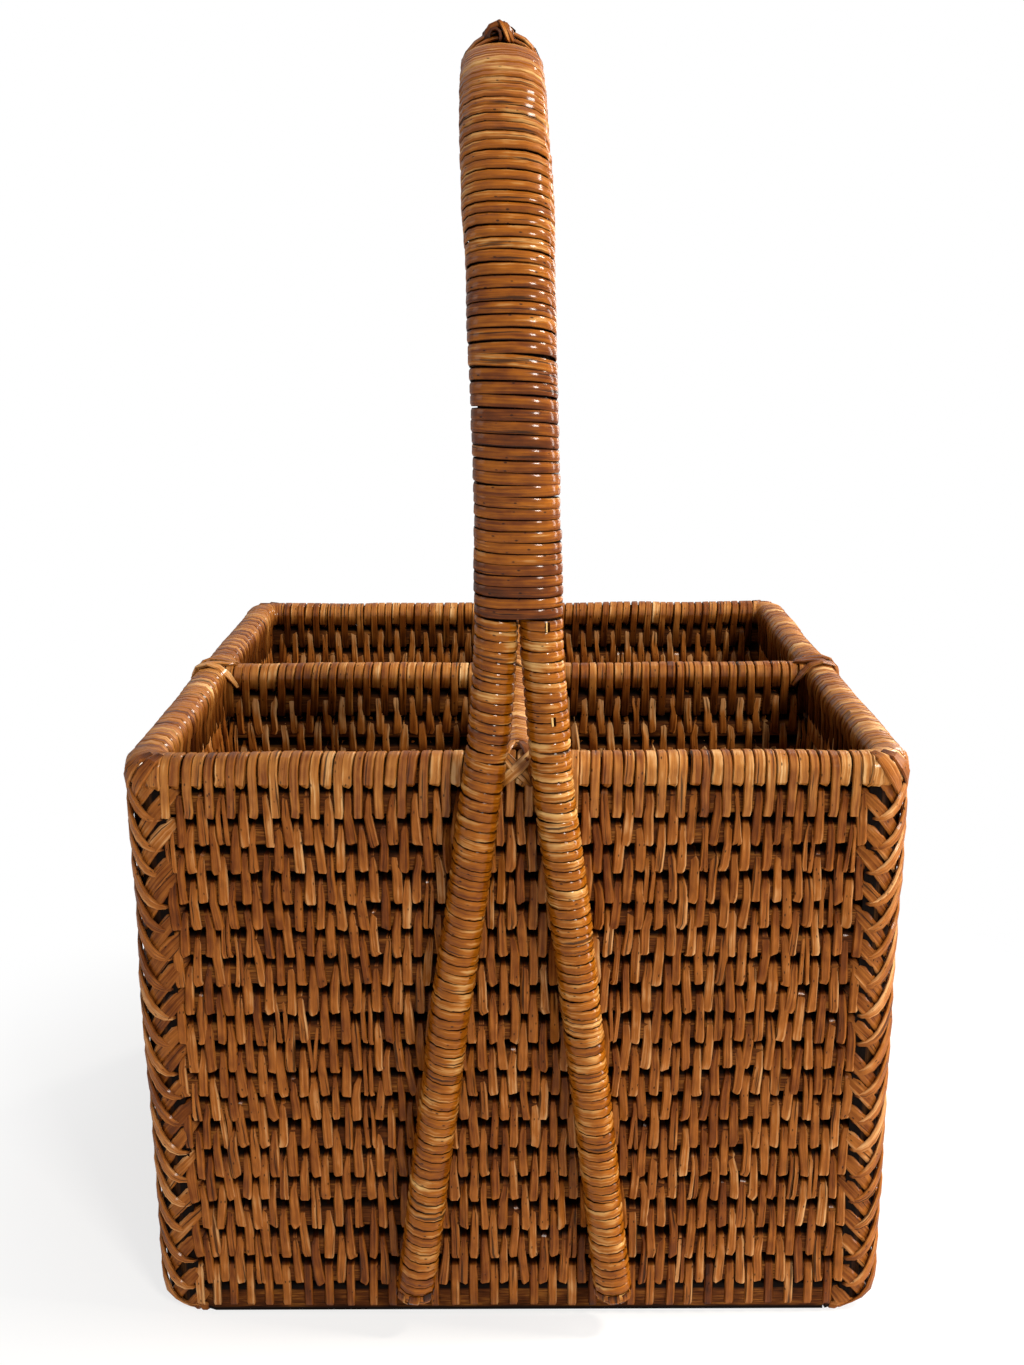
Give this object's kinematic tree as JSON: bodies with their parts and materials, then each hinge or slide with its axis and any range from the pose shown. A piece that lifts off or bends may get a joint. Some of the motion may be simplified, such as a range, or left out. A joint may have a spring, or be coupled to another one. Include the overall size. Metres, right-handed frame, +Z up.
{
  "type": "woven cutlery caddy",
  "caption": "Square woven rattan caddy with compartments split by crossed dividers, a bound rim and a tall arched carrying handle forked onto the walls.",
  "frame": {"origin": "on the table under the middle of the box", "axes": "+Z up, X along the front wall, -Y towards the front; the handle's arch lies in the YZ plane"},
  "size_m": [0.206, 0.225, 0.356],
  "materials": {
    "woven_cane": "lacquered satin",
    "bound_rod": "lacquered satin",
    "lacing_cane": "lacquered gloss",
    "rattan_core": "matte",
    "handle_cane": "lacquered gloss"
  },
  "bodies": {
    "root": {"front_wall": "woven_cane", "right_wall": "woven_cane", "rear_wall": "woven_cane", "left_wall": "woven_cane", "cross_divider": "woven_cane", "front_divider": "woven_cane", "rear_divider": "woven_cane", "floor_panel": "woven_cane", "rim_rod": "bound_rod", "foot_rod": "bound_rod", "cross_divider_rod": "bound_rod", "front_divider_rod": "bound_rod", "rear_divider_rod": "bound_rod", "rear_right_stake": "rattan_core", "rear_right_lacing": "lacing_cane", "rear_left_stake": "rattan_core", "rear_left_lacing": "lacing_cane", "front_left_stake": "rattan_core", "front_left_lacing": "lacing_cane", "front_right_stake": "rattan_core", "front_right_lacing": "lacing_cane", "front_lashing": "lacing_cane", "rear_lashing": "lacing_cane", "centre_lashing": "lacing_cane", "left_lashing": "lacing_cane", "right_lashing": "lacing_cane", "left_pole": "rattan_core", "right_pole": "rattan_core", "grip_binding": "handle_cane", "crown_knot": "handle_cane", "front_left_leg_binding": "handle_cane", "front_right_leg_binding": "handle_cane", "rear_left_leg_binding": "handle_cane", "rear_right_leg_binding": "handle_cane"}
  },
  "joints": []
}
